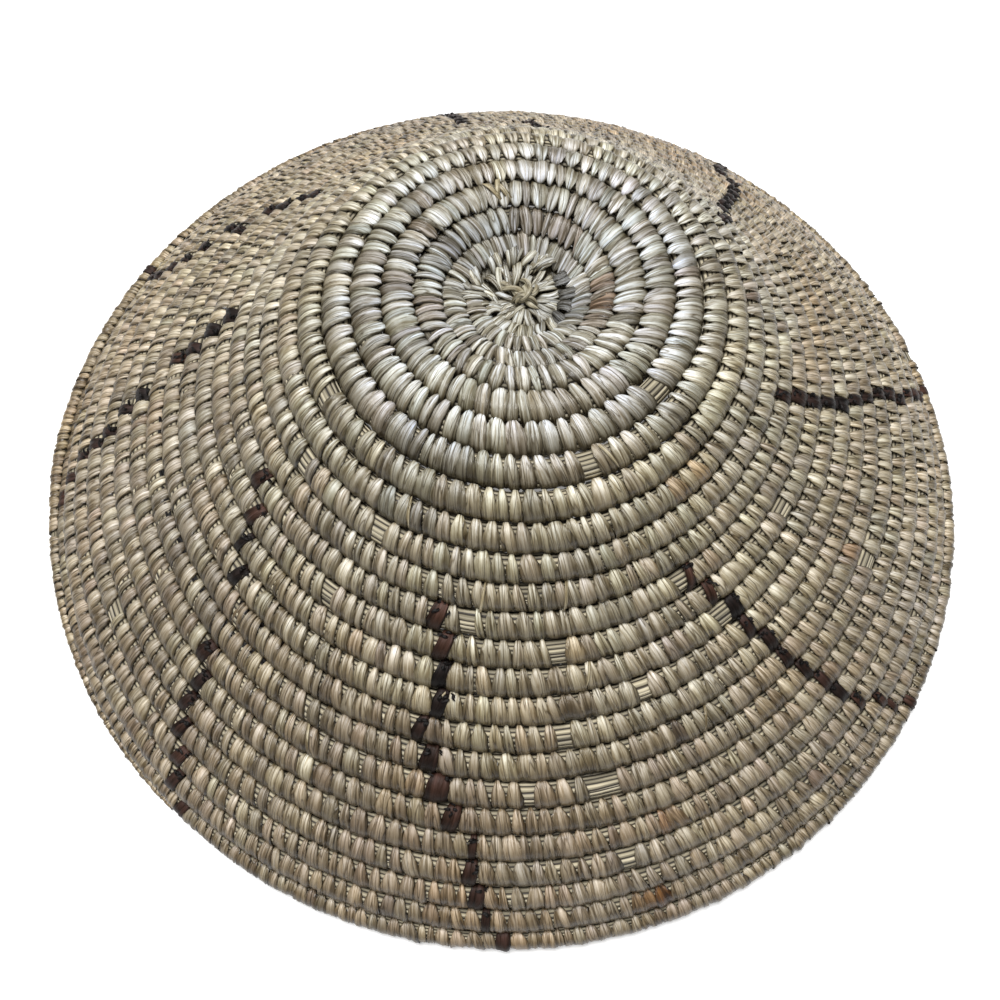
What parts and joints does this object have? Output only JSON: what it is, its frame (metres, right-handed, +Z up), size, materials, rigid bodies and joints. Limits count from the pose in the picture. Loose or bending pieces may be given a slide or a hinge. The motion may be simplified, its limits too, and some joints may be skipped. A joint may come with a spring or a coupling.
{
  "type": "coiled basket",
  "caption": "Shallow flaring bowl basket of one sewn grass coil, lying rim down, with a small raised base and lines of dark stitches running down its wall.",
  "frame": {"origin": "middle of the rim's footprint, on the surface that the rim stands on", "axes": "+Z up from the rim to the base, because the basket lies upside down as in the picture; -Y towards the viewer; +X to the viewer's right"},
  "size_m": [0.3309, 0.33, 0.0941],
  "materials": {
    "grass_coil": "matte dry plant fibre, a grass bundle sewn over with split straw-coloured strips",
    "knot_strips": "matte dry plant fibre, twisted split strips, slightly stained",
    "dark_strip": "matte dyed split strip, near black to red brown"
  },
  "bodies": {
    "root": {"foundation_coil": "grass_coil", "start_knot": "knot_strips", "dark_stitches_front": "dark_strip", "dark_stitches_front_right": "dark_strip", "dark_stitches_right": "dark_strip", "dark_stitches_back_right": "dark_strip", "dark_stitches_back_upper": "dark_strip", "dark_stitches_back_lower": "dark_strip", "dark_stitches_back_left": "dark_strip", "dark_stitches_left": "dark_strip", "dark_stitches_front_left_upper": "dark_strip", "dark_stitches_front_left_lower": "dark_strip"}
  },
  "joints": []
}
